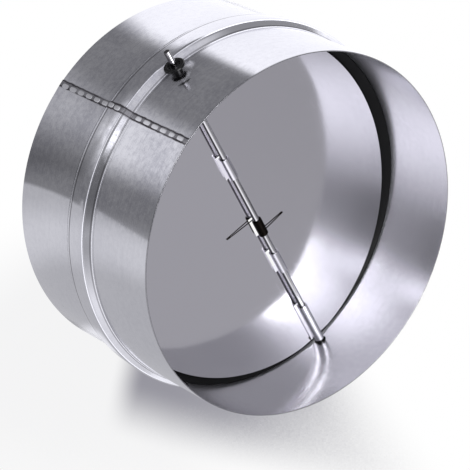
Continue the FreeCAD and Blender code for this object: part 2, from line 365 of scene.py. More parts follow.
def node(tree, kind, inputs=None, **settings):
    """Adds one shader node. Settings are its own, inputs are values or the sockets that feed them."""
    made = tree.nodes.new("ShaderNode" + kind)
    for name, value in settings.items():
        setattr(made, name, value)
    for key, value in (inputs or {}).items():
        if isinstance(value, bpy.types.NodeSocket):
            tree.links.new(value, made.inputs[key])
        else:
            made.inputs[key].default_value = value
    return made


def maths(tree, operation, *values):
    """The result of one Math node."""
    return node(tree, "Math", dict(enumerate(values)), operation=operation).outputs[0]


def spread(tree, value, low, high, to_low=0.0, to_high=1.0, kind="LINEAR"):
    """The value between low and high carried over to the second pair, and held at its ends."""
    inputs = {"Value": value, "From Min": low, "From Max": high, "To Min": to_low, "To Max": to_high}
    return node(tree, "MapRange", inputs, interpolation_type=kind).outputs[0]


def mix(tree, share, first, second):
    """Two values mixed by the share of the second."""
    return node(tree, "Mix", {0: share, 2: first, 3: second}).outputs[0]


def blend(tree, share, first, second):
    """Two colours mixed by the share of the second."""
    return node(tree, "Mix", {0: share, 6: first, 7: second}, data_type="RGBA").outputs[2]


def noise(tree, place, scale, detail):
    """A noise pattern, its scale in features to the metre."""
    return node(tree, "TexNoise", {"Vector": place, "Scale": scale, "Detail": detail}).outputs[0]


def stretched_noise(tree, place, scales, detail, turn=0.0):
    """A noise pattern turned about Z, with a scale of its own along each axis."""
    inputs = {"Vector": place, "Rotation": (0, 0, turn), "Scale": scales}
    return noise(tree, node(tree, "Mapping", inputs).outputs[0], 1.0, detail)


def bumps(tree, *layers):
    """A normal bent by heights laid on one another, each with its strength and its depth in millimetres."""
    normal = None
    for height, strength, depth in layers:
        inputs = {"Height": height, "Strength": strength, "Distance": depth * MM}
        if normal is not None:
            inputs["Normal"] = normal
        normal = node(tree, "Bump", inputs).outputs[0]
    return normal


def window(tree, value, centre, half_width, softness):
    """One near the centre, falling by a smooth step to nothing across the softness at the half width."""
    off = maths(tree, "ABSOLUTE", maths(tree, "SUBTRACT", value, centre))
    return spread(tree, off, half_width - softness / 2, half_width + softness / 2, 1.0, 0.0, "SMOOTHSTEP")


def stripes(tree, value, lines):
    """The sum of soft stripes: each is a window of the value, times its strength."""
    total = 0.0
    for *span, strength in lines:
        total = maths(tree, "MULTIPLY_ADD", window(tree, value, *span), strength, total)
    return total


def parts_of(tree, vector):
    """The X, Y and Z of a vector."""
    return node(tree, "SeparateXYZ", {0: vector}).outputs


def bearing_of(tree, parts):
    """The bearing in degrees from +X towards +Y of a vector's parts."""
    return maths(tree, "DEGREES", maths(tree, "ARCTAN2", parts["Y"], parts["X"]))


def length_of(tree, vector):
    """The length of a vector."""
    return node(tree, "VectorMath", {0: vector}, operation="LENGTH").outputs["Value"]


def rgba(values):
    """A colour property as four values."""
    return (*values, 1.0)


def new_material(name):
    """An empty material, its tree and its object coordinates."""
    material = bpy.data.materials.new(name)
    material.use_nodes = True
    tree = material.node_tree
    tree.nodes.clear()
    return material, tree, node(tree, "TexCoord").outputs["Object"]


def finished(material, **inputs):
    """The material with one Principled surface, whose inputs are written with low lines for spaces."""
    tree = material.node_tree
    inputs = {name.replace("_", " "): value for name, value in inputs.items()}
    surface = node(tree, "BsdfPrincipled", inputs).outputs[0]
    node(tree, "OutputMaterial", {"Surface": surface})
    return material


# Finishes

def rolled_galvanised_sheet(settings):
    """Galvanised steel sheet, skin-passed, rolled into the sleeve and beaded between wheels.

    The rolls leave fine lines round the sleeve, the zinc is mottled where it was handled, and there are
    thin bright scratches. The wheels leave a ridge on the bead's shoulder, and painted shade darkens the
    bead's folds and a ring round each hole. Heat from the weld darkens a band along the lap, and the front
    rim's cut edge is dark bare steel.
    """
    colours, weld = settings.colours, settings.weld
    material, tree, spot = new_material("rolled_galvanised_sheet")
    sheet = node(tree, "UVMap", uv_map="sheet").outputs["UV"]
    sheet_parts = parts_of(tree, sheet)
    round_way, long_way = sheet_parts["X"], sheet_parts["Y"]
    # The section's line goes up the outside first, which the bead makes a little longer than the sleeve
    outside = maths(tree, "LESS_THAN", long_way, SLEEVE_LENGTH * 1.02)
    # Within 29 degrees of the weld, where rolls and hands held it, the sheet is blotchy, elsewhere smooth
    handled = window(tree, bearing_of(tree, parts_of(tree, spot)), 19.0, 29.0, 8.0)
    blotchy = spread(tree, handled, 0.0, 1.0, 0.3, 1.0)

    # Stripes along the section: where the middle lies, half width, softness and strength
    along = section_places(settings.sleeve)
    shoulder_start, shoulder_end = along[2]
    foot_start, foot_end = along[4]
    shoulder = shoulder_end - shoulder_start
    worn = stripes(tree, long_way, [
        (shoulder_start + 0.62 * shoulder, 0.5 * MM, 0.6 * MM, 0.1),
        (foot_end + 0.1 * MM, 0.2 * MM, 0.3 * MM, 0.15),
    ])
    # Painted shade: dark lines along the bead's folds, and one dark line at the front rim's cut edge
    fold_shade_and_rim_line = stripes(tree, long_way, [
        (shoulder_start + 0.26 * shoulder, 0.9 * MM, 0.5 * MM, 0.95),
        (shoulder_end + 0.2 * MM, 0.4 * MM, 0.4 * MM, 0.75),
        (foot_start - 0.2 * MM, 0.35 * MM, 0.4 * MM, 0.5),
        (foot_end + 0.9 * MM, 0.25 * MM, 0.3 * MM, 0.3),
        (along[5][0], 0.5 * MM, 0.2 * MM, 0.5),
    ])
    ridge = stripes(tree, long_way, [(shoulder_start + 0.6 * shoulder, 0.5 * MM, 1.5 * MM, 1.0)])

    # Roll lines 0.8 mm apart and 60 mm long, drawn coarser than the real ones so that they show
    lines = stretched_noise(tree, sheet, (16, 1250, 1), 3.0)
    # Mottle of the zinc, about 3 mm across
    mottle = noise(tree, sheet, 320.0, 4.0)
    # Slow waves of the rolled sheet, about 45 mm long
    waves = noise(tree, sheet, 22.0, 2.0)
    # Sandy grain of the zinc, 0.9 mm across, drawn coarser than the real crystals' pits so that it shows
    sand = noise(tree, sheet, 1100.0, 2.0)
    # Scratches 1.1 mm apart and 40 mm long: the crests of a thin stretched noise
    scratches = spread(tree, stretched_noise(tree, sheet, (26, 900, 1), 1.0, 0.12), 0.70, 0.76)

    # Heat band: darkest about 1.7 mm off the row of spots, its edges made ragged by the mottle
    off_row = maths(tree, "ABSOLUTE", maths(tree, "SUBTRACT", round_way, weld.centre * SPIGOT_RADIUS))
    ragged = maths(tree, "MULTIPLY_ADD", mottle, 1.2 * MM, off_row)
    band = stripes(tree, ragged, [(2.3 * MM, 0.5 * MM, 0.5 * MM, 0.45), (0.0, 2.6 * MM, 0.8 * MM, 0.8)])
    # The heat differs from spot to spot, over about 12 mm
    heat = spread(tree, noise(tree, sheet, 85.0, 1.0), 0.3, 0.6, 0.6, 1.0)
    burnt = maths(tree, "MULTIPLY", maths(tree, "MULTIPLY", band, outside), heat)
    # A ring round each hole is made rougher and darkened with painted shade, and the punch leaves it on a
    # soft raised cone
    across_rod = {0: spot, 1: (0.0, 1.0, 1.0), 2: (0.0, 0.0, -AXLE_HEIGHT)}
    from_rod = node(tree, "VectorMath", across_rod, operation="MULTIPLY_ADD").outputs[0]
    from_rod = length_of(tree, from_rod)
    rough_shaded_ring = maths(tree, "MULTIPLY", window(tree, from_rod, 0.0, 9.0 * MM, 5.0 * MM), outside)
    raised = spread(tree, from_rod, 3.0 * MM, 11.0 * MM, 1.0, 0.0, "SMOOTHSTEP")
    raised = maths(tree, "MULTIPLY", raised, outside)

    cloudy = waves
    for pattern, weight in ((mottle, 0.7), (sand, 0.5), (lines, 0.4)):
        cloudy = maths(tree, "MULTIPLY_ADD", pattern, weight, cloudy)
    dull_share = maths(tree, "MULTIPLY", spread(tree, cloudy, 1.1, 1.5), blotchy)
    tone = blend(tree, dull_share, rgba(colours.sheet), rgba(colours.sheet_dull))
    # The weld's heat band is a real stain; the folds' lines and the rings round the holes are painted shade
    for stain_or_shade in (maths(tree, "MAXIMUM", burnt, fold_shade_and_rim_line), maths(tree, "MULTIPLY", rough_shaded_ring, 0.35)):
        tone = blend(tree, stain_or_shade, tone, rgba(colours.heat_tint_and_shade))

    gloss = mix(tree, blotchy, 0.12, spread(tree, mottle, 0.38, 0.66, 0.05, 0.2))
    gloss = maths(tree, "MULTIPLY_ADD", burnt, 0.25, gloss)
    gloss = maths(tree, "ADD", worn, gloss)
    gloss = maths(tree, "MULTIPLY_ADD", rough_shaded_ring, 0.12, gloss)
    # The inside is evenly satin and has little grain
    gloss = mix(tree, outside, spread(tree, waves, 0.3, 0.7, 0.19, 0.22), gloss)
    grained = spread(tree, maths(tree, "MULTIPLY", outside, handled), 0.0, 1.0, 0.04, 0.4)
    wavy = spread(tree, outside, 0.0, 1.0, 0.03, 0.16)
    normal = bumps(
        tree,
        (raised, 1.0, 1.3),
        (ridge, 1.0, 0.7),
        (waves, wavy, 0.7),
        (lines, grained, 0.014),
        (mottle, grained, 0.03),
        (sand, grained, 0.02),
        (scratches, 0.4, 0.03),
    )
    return finished(material, Base_Color=tone, Metallic=1.0, Roughness=gloss, Normal=normal)


def mill_finish_blade_sheet(settings):
    """Aluminium sheet as it leaves the rolling mill.

    It is an even satin grey with a faint grain along the rod and a few hair scratches.
    """
    material, tree, spot = new_material("mill_finish_blade_sheet")
    # Grain 0.7 mm apart and 30 mm long along the rod
    grain = stretched_noise(tree, spot, (33, 1400, 1400), 3.0)
    # Slow cloud of the rolled sheet, about 40 mm across
    cloud = noise(tree, spot, 26.0, 2.0)
    # Hair scratches 0.4 mm apart and 17 mm long, of which only the noise's highest crests are left
    hair = spread(tree, stretched_noise(tree, spot, (60, 2600, 60), 1.0, 0.9), 0.71, 0.76)
    gloss = spread(tree, cloud, 0.3, 0.7, 0.08, 0.12)
    normal = bumps(tree, (cloud, 0.2, 0.5), (grain, 0.25, 0.01), (hair, 0.3, 0.02))
    tone = rgba(settings.colours.blade)
    return finished(material, Base_Color=tone, Metallic=1.0, Roughness=gloss, Normal=normal)


def drawn_bright_bar(settings):
    """Bright drawn steel bar: nearly a mirror, with faint lines along the draw and painted shade on its
    flanks.
    """
    colours = settings.colours
    material, tree, spot = new_material("drawn_bright_bar")
    # Draw lines 0.25 mm apart and 50 mm long
    draw = stretched_noise(tree, spot, (20, 4000, 4000), 2.0)
    gloss = spread(tree, draw, 0.3, 0.7, 0.08, 0.16)
    # Painted shade darkens both flanks of the rod, in a band about the rod's own level
    painted_flank_shade = window(tree, parts_of(tree, spot)["Z"], AXLE_HEIGHT, 1.3 * MM, 0.4 * MM)
    painted_flank_shade = maths(tree, "MULTIPLY", painted_flank_shade, 0.9)
    tone = blend(tree, painted_flank_shade, rgba(colours.rod), rgba(colours.heat_tint_and_shade))
    normal = bumps(tree, (draw, 0.2, 0.005))
    return finished(material, Base_Color=tone, Metallic=1.0, Roughness=gloss, Normal=normal)


def pitted_metal(name, tone, scale, glosses, strength, depth):
    """Metal whose small pits vary both its roughness, between two values, and its surface."""
    material, tree, spot = new_material(name)
    pits = noise(tree, spot, scale, 3.0)
    gloss = spread(tree, pits, 0.3, 0.7, *glosses)
    normal = bumps(tree, (pits, strength, depth))
    return finished(material, Base_Color=rgba(tone), Metallic=1.0, Roughness=gloss, Normal=normal)


def resistance_weld_metal(settings):
    """Steel pressed by welding wheels: pale, slightly rough spots in the dark band, with 1.1 mm pits."""
    return pitted_metal("resistance_weld_metal", settings.colours.weld, 900.0, (0.14, 0.3), 0.4, 0.05)


def oiled_spring_wire(settings):
    """Hard-drawn spring wire, dark from its oil and heat: a dull brown-black with 2 mm stains."""
    return pitted_metal("oiled_spring_wire", settings.colours.spring, 500.0, (0.28, 0.45), 0.2, 0.02)


def black_rubber(settings, name, roughest, specular):
    """Filled synthetic rubber: deep black with a very fine grain.

    The extruded seal is matt from its die, and the moulded grommets are glossier from their mould.
    """
    material, tree, spot = new_material(name)
    # Grain 0.7 mm across, and bloom 8 mm across
    grain = noise(tree, spot, 1500.0, 2.0)
    gloss = spread(tree, noise(tree, spot, 120.0, 2.0), 0.3, 0.7, roughest - 0.15, roughest)
    return finished(
        material,
        Base_Color=rgba(settings.colours.rubber),
        Roughness=gloss,
        IOR=1.52,
        Specular_IOR_Level=specular,
        Normal=bumps(tree, (grain, 0.2, 0.03)),
    )


# The damper's own forms

def sheet_corners(sizes, inward):
    """Corners of the sheet's section from rear rim to front rim, moved inward square to each run."""
    outer = np.array([
        (SPIGOT_RADIUS, 0),
        (SPIGOT_RADIUS, sizes.rear_foot),
        (SPIGOT_RADIUS + sizes.shoulder_rise, sizes.shoulder),
        (SPIGOT_RADIUS + sizes.crest_rise, sizes.crest),
        (SPIGOT_RADIUS, sizes.front_foot),
        (SPIGOT_RADIUS, SLEEVE_LENGTH),
    ])
    runs = unit(np.diff(outer, axis=0))
    before, after = runs[:-1], runs[1:]
    share = inward / (1 + np.sum(before * after, axis=1, keepdims=True))
    moved = outer - (inward, 0)
    moved[1:-1] = outer[1:-1] + np.stack([-(before + after)[:, 1], (before + after)[:, 0]], axis=1) * share
    return moved


def lap_rise_at(sizes, bearing):
    """Zero before the lap's edge, then the full rise, sinking back smoothly over the lap's width."""
    past_edge = (bearing - sizes.lap_edge) * SPIGOT_RADIUS / sizes.lap_width
    return np.where(past_edge > 0, sizes.lap_rise * (1 - smooth_step(past_edge)), 0)


def sheet_radius_at(sizes, height):
    """Radius of the sleeve's outer side at a height, read along its rounded section line."""
    outline = rounded_outline(*sleeve_outline(sizes))
    outer = outline[:len(outline) // 2]
    return np.interp(height, outer[:, 1], outer[:, 0])


def sleeve_outline(sizes):
    """Corners and bend radii of the sheet's section, up the outside and down the inside."""
    corners = np.concatenate([sheet_corners(sizes, 0), sheet_corners(sizes, sizes.thickness)[::-1]])
    bends = np.array([sizes.rear_foot_bend, sizes.shoulder_bend, sizes.crest_bend, sizes.front_foot_bend])
    hollow = np.array([1, -1, -1, 1]) * sizes.thickness
    edge = [sizes.edge_bend]
    return corners, np.concatenate([edge, bends, edge, edge, (bends + hollow)[::-1], edge])


def section_places(sizes):
    """For each corner of the section, where its arc starts and ends along the section's line."""
    corners, bends = sleeve_outline(sizes)
    section = rounded_outline(corners, bends)
    runs = np.linalg.norm(np.roll(section, -1, axis=0) - section, axis=1)
    along = np.concatenate([[0], np.cumsum(runs)])
    steps = len(section) // len(corners)
    firsts = range(0, len(section), steps)
    return [(float(along[first]), float(along[first + steps - 1])) for first in firsts]


def sleeve_mesh(sizes):
    """The sheet's rounded section turned about the duct's axis, with the lap added to its outer side."""
    section = rounded_outline(*sleeve_outline(sizes))
    outer_side = np.arange(len(section)) < len(section) / 2
    edge = sizes.lap_edge
    # Three bearings within 0.016 mm of sheet make the lap's step sharp
    near_edge = edge + np.array([-0.01, 0.0, 0.006]) * MM / SPIGOT_RADIUS
    across_lap = edge + np.linspace(0.3, 1.1, 24) * sizes.lap_width / SPIGOT_RADIUS
    even = np.linspace(0, 2 * np.pi, 360, endpoint=False)
    bearings = np.unique(np.concatenate([even, near_edge, across_lap]))
    rise = lap_rise_at(sizes, bearings)[:, None] * outer_side[None, :]
    radius = section[None, :, 0] + rise
    grid = turned_grid(np.stack([radius, np.broadcast_to(section[:, 1], radius.shape)], axis=-1), bearings)
    u = np.append(bearings, 2 * np.pi) * SPIGOT_RADIUS
    runs = np.linalg.norm(np.roll(section, -1, axis=0) - section, axis=1)
    v = np.concatenate([[0], np.cumsum(runs)])
    return surface_mesh("beaded_sleeve", grid[None], closed_length=True, u=u, v=v)


def weld_spot_mesh(weld, sleeve):
    """Shallow domes on the lap, whose height is 1 less the sixth power of the share of the way out.

    The outline is a squared-off oval: cosine and sine keep their signs and are raised to the power 0.6.
    """
    # Even runs of spots behind the bead, on it and before it: first height and pitch in mm, and count
    runs = ((5.1, 7.2, 6), (50.0, 6.0, 2), (71.3, 7.28, 6))
    height = np.concatenate([first + pitch * np.arange(count) for first, pitch, count in runs]) * MM
    random = np.random.default_rng(7)
    lean = weld.drift * (1 - height / sleeve.rear_foot).clip(0, 1)
    sway = random.normal(0, 0.12 * MM, len(height))
    stretch = random.normal(1, 0.07, len(height))

    turn = np.linspace(0, 2 * np.pi, 28, endpoint=False)
    cosine, sine = np.cos(turn), np.sin(turn)
    across = np.sign(cosine) * np.abs(cosine) ** 0.6 * weld.spot_width / 2
    along = np.sign(sine) * np.abs(sine) ** 0.6 * weld.spot_length / 2
    ring = np.array([0.1, 0.4, 0.65, 0.82, 0.93, 1.0, 1.0])
    proud = weld.proud * (1 - ring**6)
    proud[-1] = -2 * weld.proud

    arc = across[None, None, :] * ring[None, :, None] + (lean + sway)[:, None, None]
    z = along[None, None, :] * ring[None, :, None] * stretch[:, None, None] + height[:, None, None]
    bearing = weld.centre + arc / SPIGOT_RADIUS
    radius = sheet_radius_at(sleeve, z) + lap_rise_at(sleeve, bearing) + proud[None, :, None]
    grid = np.stack([radius * np.cos(bearing), radius * np.sin(bearing), z], axis=-1)
    return surface_mesh("weld_spots", grid)


def seal_mesh(sizes, sleeve):
    """The ring's rounded section, from the groove to the tip of its lip, turned about the duct's axis."""
    groove = sheet_corners(sleeve, sleeve.thickness + sizes.groove_gap)
    wall = SPIGOT_RADIUS - sleeve.thickness - sizes.seat_gap
    lip = wall - sizes.lip_width + sizes.seat_gap
    lip_front = sizes.front - (wall - lip) * sizes.lip_slope
    corners = [
        groove[2],
        groove[3],
        (wall, groove[4][1]),
        (wall, sizes.front),
        (lip, lip_front),
        (lip, lip_front - sizes.tip),
        (wall, sizes.front - sizes.root),
        (wall, groove[2][1]),
    ]
    # Bend radii at these corners, in the same order
    bends = np.array([0.6, 0.5, 0.3, 0.15, 0.35, 0.35, 0.6, 0.2]) * MM
    section = rounded_outline(corners, bends, steps=5)
    bearings = np.linspace(0, 2 * np.pi, 300, endpoint=False)
    return surface_mesh("seal", turned_grid(section, bearings)[None], closed_length=True)


def grommet_mesh(name, side, sizes, sleeve):
    """A rounded section turned about the rod, whose underside is moved to the sleeve's curved surface."""
    # The neck stands a little proud inside the sheet, and the seat sinks a little into its outer side
    proud, sunk = 0.06 * MM, 0.02 * MM
    wall = SPIGOT_RADIUS
    bore = ROD_RADIUS + sizes.bore_gap
    rim = (sizes.flange_radius - sizes.hub_radius) / 3
    hub, top = wall + sizes.hub_height, wall + sizes.flange_height
    under = top - sizes.flange_thickness
    inside = wall - sleeve.thickness - proud
    corners = np.array([
        (hub, bore),
        (hub, sizes.hub_radius),
        (top - sizes.dish, sizes.hub_radius + rim * 0.5),
        (top, sizes.hub_radius + rim),
        (top, sizes.flange_radius),
        (under, sizes.flange_radius),
        (under, sizes.collar_radius),
        (wall, sizes.collar_radius),
        (wall, sizes.neck_radius),
        (inside, sizes.neck_radius),
        (inside, bore),
    ])
    # Bend radii at these corners, in the same order
    bends = np.array([0.25, 0.3, 0.25, 0.4, 0.9, 0.5, 0.3, 0.05, 0.02, 0.02, 0.02]) * MM
    steps = 7
    section = rounded_outline(corners, bends, steps)
    # The arcs of the two corners at the wall lie on the sleeve
    on_sleeve = np.isin(np.arange(len(section)) // steps, (7, 8))
    turn = np.linspace(0, 2 * np.pi, 96, endpoint=False)[:, None]
    out, radius = section[None, :, 0], section[None, :, 1]
    y = radius * np.cos(turn)
    z = AXLE_HEIGHT + radius * np.sin(turn)
    seat = np.sqrt(sheet_radius_at(sleeve, z) ** 2 - y**2) - sunk
    x = np.where(on_sleeve[None, :], seat + out - wall, out)
    grid = np.stack([side * x, side * y, z], axis=-1)
    return surface_mesh(name, grid[None], closed_length=True)


def rod_mesh():
    """A circle carried along the rod, drawn in at both ends by a quarter of a circle and a short bevel."""
    round_end = 0.4 * MM
    bevel_across, bevel_along = 0.05 * round_end, 0.005 * MM
    quarter = np.linspace(0, np.pi / 2, 6)
    arc_radius = ROD_RADIUS - round_end * (1 - np.sin(quarter))
    end_radius = np.concatenate([[arc_radius[0] - bevel_across], arc_radius])
    end_place = np.concatenate([[0], round_end * (1 - np.cos(quarter)) + bevel_along])
    middle = np.linspace(-0.9, 0.9, 19) * ROD_HALF_LENGTH
    place = np.concatenate([end_place - ROD_HALF_LENGTH, middle, (ROD_HALF_LENGTH - end_place)[::-1]])
    radius = np.concatenate([end_radius, np.full(len(middle), ROD_RADIUS), end_radius[::-1]])
    turn = np.linspace(0, 2 * np.pi, 64, endpoint=False)[None, :]
    radius, place = radius[:, None], place[:, None]
    x = np.broadcast_to(place, (len(place), turn.shape[1]))
    grid = np.stack([x, radius * np.cos(turn), AXLE_HEIGHT + radius * np.sin(turn)], axis=-1)
    return surface_mesh("rod", grid[None])


def blade_outline(sizes, own, free):
    """The plate's outline: part of an ellipse between straight ends, then the notched edge from -X to +X.

    The ellipse is half width times cosine, reach times sine. Returns the points and the places of the
    two corners where each knuckle's tab starts.
    """
    first = math.acos(sizes.long_end / sizes.half_width)
    swing = np.linspace(first, math.pi - first, 181)
    curve = np.stack([sizes.half_width * np.cos(swing), sizes.reach * np.sin(swing)], axis=1)
    curve = np.concatenate([[(sizes.long_end, sizes.notch)], curve])
    edge, roots = [], []
    for start, end in sorted(own + free):
        if start > -sizes.long_end:
            left = start - sizes.notch_side
            edge += [(left, sizes.inner_edge), (left, sizes.notch)]
        if (start, end) in own:
            roots.append(len(curve) + len(edge))
            edge += [(start, sizes.notch), (end, sizes.notch)]
        if end < sizes.long_end:
            right = end + sizes.notch_side
            edge += [(right, sizes.notch), (right, sizes.inner_edge)]
    return np.concatenate([curve, np.array(edge)]), roots


def blade_mesh(name, side, sizes, own, free):
    """A plate between two copies of its outline, whose tabs are carried round the rod as rings of points.

    Each ring lies at the bore radius and at the bore plus the sheet. It starts where a straight tab from
    the plate's back corner touches the outer circle, and runs on through the wrap angle. The whole is then
    leant back, turned to its side and put on the axle.
    """
    outline, roots = blade_outline(sizes, own, free)
    count = len(outline)
    outer_radius = sizes.bore + sizes.thickness
    back_drop = sizes.face_drop + sizes.thickness
    low = np.column_stack([outline, np.full(count, -back_drop)])
    high = np.column_stack([outline, np.full(count, -sizes.face_drop)])
    ahead = np.roll(np.arange(count), -1)
    sides = np.stack([np.arange(count), ahead, ahead + count, np.arange(count) + count], axis=1)
    faces = [np.arange(count)[::-1].tolist(), (np.arange(count) + count).tolist()]
    faces += np.delete(sides, roots, axis=0).tolist()

    steps = 41
    corner_distance = math.hypot(back_drop, sizes.notch)
    slope = math.acos(outer_radius / corner_distance) - math.atan2(sizes.notch, back_drop)
    swing = -np.pi / 2 - slope - sizes.wrap * np.linspace(0, 1, steps)
    circle = np.column_stack([np.cos(swing), np.sin(swing)])
    points = [low, high]
    for number, root in enumerate(roots):
        ends = outline[[root, root + 1], 0]
        base = 2 * count + number * 4 * steps
        rings = np.arange(4 * steps).reshape(4, steps) + base
        starts = np.array([[root], [root + 1], [root + count], [root + 1 + count]])
        outer_a, outer_b, inner_a, inner_b = np.concatenate([starts, rings], axis=1)
        strips = ((outer_a, outer_b), (inner_b, inner_a), (inner_a, outer_a), (outer_b, inner_b))
        for first, second in strips:
            faces += np.stack([first[:-1], second[:-1], second[1:], first[1:]], axis=1).tolist()
        faces.append([int(ring[-1]) for ring in (outer_a, outer_b, inner_b, inner_a)])
        for radius in (outer_radius, sizes.bore):
            for end in ends:
                points.append(np.column_stack([np.full(steps, end), radius * circle]))
    place = Matrix.Translation((0, 0, AXLE_HEIGHT))
    if side < 0:
        place = place @ Matrix.Rotation(math.pi, 4, "Z")
    place = np.array(place @ Matrix.Rotation(-sizes.tilt, 4, "X"))
    points = np.concatenate(points) @ place[:3, :3].T + place[:3, 3]
    mesh = bpy.data.meshes.new(name)
    mesh.from_pydata(points, [], faces)
    return shaded(mesh, 14)


def wound_angle(sizes):
    """The angle that the coil turns through from one leg to the other."""
    return 2 * math.pi * sizes.turns + math.pi - 2 * sizes.leg_start


def coil_points(sizes, from_turn, to_turn, count):
    """The coil's centre line: a circle round the rod, whose place along it falls evenly with the angle."""
    swing = np.linspace(from_turn, to_turn, count)
    share = swing / wound_angle(sizes)
    x = sizes.start + sizes.pitch * sizes.turns * (1 - share)
    bearing = -sizes.leg_start - swing
    y = sizes.coil_radius * np.cos(bearing)
    z = AXLE_HEIGHT + sizes.coil_radius * np.sin(bearing)
    return np.stack([x, y, z], axis=1)


def leg_points(arc, side, sizes, tilt):
    """A stretch of a turn that hides in the coil, a bend along a square curve, and the straight leg.

    The square curve between two ends and the elbow is (1-t) squared, 2t(1-t) and t squared of the three.
    """
    elbow = arc[-1]
    reach = sizes.left_reach if side > 0 else sizes.right_reach
    across = reach * math.cos(tilt) - sizes.leg_drop * math.sin(tilt)
    down = reach * math.sin(tilt) + sizes.leg_drop * math.cos(tilt)
    tip = np.array([elbow[0] + side * sizes.lean, side * across, AXLE_HEIGHT - down])
    bend = 0.55 * MM
    near = elbow + unit(tip - elbow) * bend
    arc = arc[np.linalg.norm(arc - elbow, axis=1) > bend]
    t = np.linspace(0, 1, 9)[1:-1, None]
    curve = (1 - t) ** 2 * arc[-1] + 2 * t * (1 - t) * elbow + t**2 * near
    straight = near + np.linspace(0, 1, 12)[:, None] * (tip - near)
    return np.concatenate([arc, curve, straight])


def mirrored(span):
    """The same stretch of the rod as seen by the blade that is turned half round."""
    return (-span[1], -span[0])


class DAMPER_OT_sleeve(bpy.types.Operator):
    """Adds the beaded sleeve and the weld spots along its lap"""

    bl_idname = "damper.sleeve"
    bl_label = "Sleeve"

    def execute(self, context):
        settings = context.scene.damper
        sheet = rolled_galvanised_sheet(settings)
        sleeve = sleeve_mesh(settings.sleeve)
        add_piece("beaded_sleeve", sleeve, sheet, "galvanised_sheet", "duct", "duct_sleeve")
        weld = resistance_weld_metal(settings)
        spots = weld_spot_mesh(settings.weld, settings.sleeve)
        add_piece("weld_spots", spots, weld, "galvanised_sheet", "duct")
        return {"FINISHED"}


class DAMPER_OT_rubber(bpy.types.Operator):
    """Adds the seal ring and the two grommets"""

    bl_idname = "damper.rubber"
    bl_label = "Seal and grommets"

    def execute(self, context):
        settings = context.scene.damper
        extruded = black_rubber(settings, "extruded_black_rubber", roughest=0.5, specular=0.12)
        seal = seal_mesh(settings.seal, settings.sleeve)
        add_piece("seal", seal, extruded, "black_rubber", "duct", "seal_ring")
        moulded = black_rubber(settings, "moulded_black_rubber", roughest=0.34, specular=0.3)
        for name, node_name, side in (
            ("near_grommet", "grommet_plus_x", 1),
            ("far_grommet", "grommet_minus_x", -1),
        ):
            mesh = grommet_mesh(name, side, settings.grommet, settings.sleeve)
            add_piece(name, mesh, moulded, "black_rubber", "duct", node_name)
        return {"FINISHED"}


class DAMPER_OT_rod(bpy.types.Operator):
    """Adds the axle rod"""

    bl_idname = "damper.rod"
    bl_label = "Axle rod"

    def execute(self, context):
        bar = drawn_bright_bar(context.scene.damper)
        add_piece("rod", rod_mesh(), bar, "bright_rod", "duct", "axle_rod")
        return {"FINISHED"}


class DAMPER_OT_blades(bpy.types.Operator):
    """Adds the two blades with their rolled knuckles"""

    bl_idname = "damper.blades"
    bl_label = "Blades"

    def execute(self, context):
        settings = context.scene.damper
        sizes, spring = settings.blade, settings.spring
        sheet = mill_finish_blade_sheet(settings)
        long_knuckle = (-sizes.long_end, sizes.long_length - sizes.long_end)
        left_short = (sizes.left_short, sizes.left_short + sizes.short_length)
        right_short = (sizes.right_short, sizes.right_short + sizes.short_length)
        coil = (
            spring.start - spring.wire_radius,
            spring.start + spring.pitch * spring.turns + spring.wire_radius,
        )
        left_free = [mirrored(long_knuckle), mirrored(right_short), coil]
        right_free = [mirrored(long_knuckle), mirrored(left_short), mirrored(coil)]
        for name, side, own, free in (
            ("left_blade_sheet", 1, [long_knuckle, left_short], left_free),
            ("right_blade_sheet", -1, [long_knuckle, right_short], right_free),
        ):
            body = "left_blade" if side > 0 else "right_blade"
            mesh = blade_mesh(name, side, sizes, own, free)
            blade = add_piece(name, mesh, sheet, "blade_sheet", body, body)
            bevel = blade.modifiers.new("broken_edges", "BEVEL")
            bevel.width = sizes.edge_bevel
            bevel.segments = 2
            bevel.limit_method = "ANGLE"
            bevel.angle_limit = math.radians(50)
            bevel.harden_normals = True
        return {"FINISHED"}


class DAMPER_OT_spring(bpy.types.Operator):
    """Adds the torsion spring: its coil stays on the rod and its legs ride on the blades"""

    bl_idname = "damper.spring"
    bl_label = "Torsion spring"

    def execute(self, context):
        settings = context.scene.damper
        sizes, tilt = settings.spring, settings.blade.tilt
        wire = oiled_spring_wire(settings)
        wound = wound_angle(sizes)
        coil = coil_points(sizes, 0, wound, 36 * sizes.turns)
        mesh = surface_mesh("spring_coil", wire_grid(coil, sizes.wire_radius, 14)[None])
        add_piece("spring_coil", mesh, wire, "spring_wire", "duct", "torsion_spring")
        # A leg is thinner by a hair, so that its first stretch hides in the coil
        hidden = sizes.wire_radius * 0.98
        stretch = math.radians(100)
        left_arc = coil_points(sizes, stretch, 0, 26)
        right_arc = coil_points(sizes, wound - stretch, wound, 26)
        for name, arc, side, body in (
            ("left_spring_leg", left_arc, 1, "left_blade"),
            ("right_spring_leg", right_arc, -1, "right_blade"),
        ):
            path = leg_points(arc, side, sizes, tilt)
            mesh = surface_mesh(name, wire_grid(path, hidden, 14)[None])
            add_piece(name, mesh, wire, "spring_wire", body)
        return {"FINISHED"}


# The studio

def bearing_vector(azimuth, elevation):
    """The unit vector at an azimuth from +X towards +Y and an elevation, both in degrees."""
    azimuth, elevation = math.radians(azimuth), math.radians(elevation)
    flat = math.cos(elevation)
    return (flat * math.cos(azimuth), flat * math.sin(azimuth), math.sin(elevation))


def soft_patches(tree, bearing, along, base, patches):
    """A base level plus patches: each is a window of the bearing times a window of the other measure."""
    level = base
    for (centre, *turned_span), along_span, strength in patches:
        turned = maths(tree, "WRAP", maths(tree, "SUBTRACT", bearing, centre), 180.0, -180.0)
        across = window(tree, turned, 0.0, *turned_span)
        patch = maths(tree, "MULTIPLY", across, window(tree, along, *along_span))
        level = maths(tree, "MULTIPLY_ADD", patch, strength, level)
    return level


